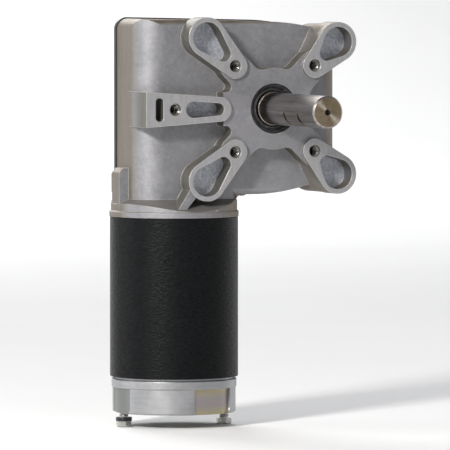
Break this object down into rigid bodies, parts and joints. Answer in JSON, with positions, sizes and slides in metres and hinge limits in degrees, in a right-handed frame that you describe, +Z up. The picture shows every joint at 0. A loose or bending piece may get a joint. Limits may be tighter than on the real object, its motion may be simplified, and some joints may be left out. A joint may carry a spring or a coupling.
{
  "type": "geared dc motor",
  "caption": "Right-angle worm-geared dc motor: cast gearbox with four legs and a side pad, long plain output shaft, black motor tube hanging below.",
  "frame": {"origin": "output shaft axis where it crosses the plane of the four mounting faces", "axes": "-Y along the output shaft, out of the gearbox; +Z up; the motor hangs along -Z; +X away from the motor"},
  "size_m": [0.1413, 0.1538, 0.2429],
  "materials": {
    "cast_aluminium": "sand-textured die casting with machined faces",
    "black_paint": "satin black paint",
    "gasket_paper": "matt",
    "zinc_steel": "bright zinc plate",
    "dark_steel": "black oxide",
    "shaft_steel": "ground",
    "gear_iron": "machined",
    "gear_bronze": "hobbed bronze",
    "seal_rubber": "matt moulded rubber",
    "bearing_steel": "polished",
    "cage_brass": "pressed",
    "tube_black": "black crinkle paint",
    "magnet": "sintered ferrite",
    "core_iron": "stacked laminations",
    "copper": "enamelled copper",
    "cap_aluminium": "smooth die casting",
    "insulator": "phenolic board",
    "carbon": "pressed carbon"
  },
  "bodies": {
    "casing": {"gear_housing": "cast_aluminium", "gearbox_cover": "black_paint", "cover_gasket": "gasket_paper", "cover_screws": "dark_steel", "output_seal": "seal_rubber", "tip_bush": "gear_bronze", "thrust_pad": "dark_steel", "oil_seal": "seal_rubber", "motor_tube": "tube_black", "field_magnets": "magnet", "end_cap": "cap_aluminium", "lead_grommet": "seal_rubber", "through_bolts": "zinc_steel", "bolt_washer": "dark_steel", "wave_washer": "zinc_steel", "brush_plate": "insulator", "brush_holders": "cage_brass", "brush_spring_left": "zinc_steel", "brush_spring_right": "zinc_steel", "front_bearing_outer_race": "bearing_steel", "rear_bearing_outer_race": "bearing_steel", "drive_bearing_outer_race": "bearing_steel", "end_bearing_outer_race": "bearing_steel"},
    "output_rotor": {"output_shaft": "shaft_steel", "wheel_key": "dark_steel", "worm_wheel_hub": "gear_iron", "worm_wheel_rim": "gear_bronze", "front_bearing_inner_race": "bearing_steel", "rear_bearing_inner_race": "bearing_steel"},
    "armature": {"armature_shaft": "shaft_steel", "worm": "shaft_steel", "worm_spacer": "zinc_steel", "armature_core": "core_iron", "armature_windings": "copper", "commutator": "copper", "drive_bearing_inner_race": "bearing_steel", "end_bearing_inner_race": "bearing_steel"},
    "brush_left": {"brush_left": "carbon"},
    "brush_right": {"brush_right": "carbon"},
    "front_ball_set": {"front_bearing_balls": "bearing_steel", "front_bearing_cage": "cage_brass"},
    "rear_ball_set": {"rear_bearing_balls": "bearing_steel", "rear_bearing_cage": "cage_brass"},
    "drive_ball_set": {"drive_bearing_balls": "bearing_steel", "drive_bearing_cage": "cage_brass"},
    "end_ball_set": {"end_bearing_balls": "bearing_steel", "end_bearing_cage": "cage_brass"}
  },
  "joints": [
    {"name": "output_spin", "type": "hinge", "parent": "casing", "child": "output_rotor", "pos_m": [0, 0, 0], "axis": [0, -1, 0], "continuous": true},
    {"name": "armature_spin", "type": "hinge", "parent": "casing", "child": "armature", "pos_m": [-0.0508, 0.035, 0], "axis": [0, 0, 1], "continuous": true},
    {"name": "front_balls_orbit", "type": "hinge", "parent": "casing", "child": "front_ball_set", "pos_m": [0, 0.0162, 0], "axis": [0, -1, 0], "continuous": true},
    {"name": "rear_balls_orbit", "type": "hinge", "parent": "casing", "child": "rear_ball_set", "pos_m": [0, 0.055, 0], "axis": [0, -1, 0], "continuous": true},
    {"name": "drive_balls_orbit", "type": "hinge", "parent": "casing", "child": "drive_ball_set", "pos_m": [-0.0508, 0.035, -0.058], "axis": [0, 0, 1], "continuous": true},
    {"name": "end_balls_orbit", "type": "hinge", "parent": "casing", "child": "end_ball_set", "pos_m": [-0.0508, 0.035, -0.171], "axis": [0, 0, 1], "continuous": true},
    {"name": "brush_left_slide", "type": "slide", "parent": "casing", "child": "brush_left", "axis": [-0.7071, 0.7071, 0], "range_m": [0, 0.002], "stiffness_N_per_m": 400, "springref_m": -0.006, "deforming": ["brush_spring_left"]},
    {"name": "brush_right_slide", "type": "slide", "parent": "casing", "child": "brush_right", "axis": [0.7071, 0.7071, 0], "range_m": [0, 0.002], "stiffness_N_per_m": 400, "springref_m": -0.006, "deforming": ["brush_spring_right"]}
  ],
  "couplings": [
    {"joint": "armature_spin", "follows": "output_spin", "ratio": 20},
    {"joint": "front_balls_orbit", "follows": "output_spin", "ratio": 0.39355},
    {"joint": "rear_balls_orbit", "follows": "output_spin", "ratio": 0.39355},
    {"joint": "drive_balls_orbit", "follows": "output_spin", "ratio": 7.3636},
    {"joint": "end_balls_orbit", "follows": "output_spin", "ratio": 7.3636}
  ]
}
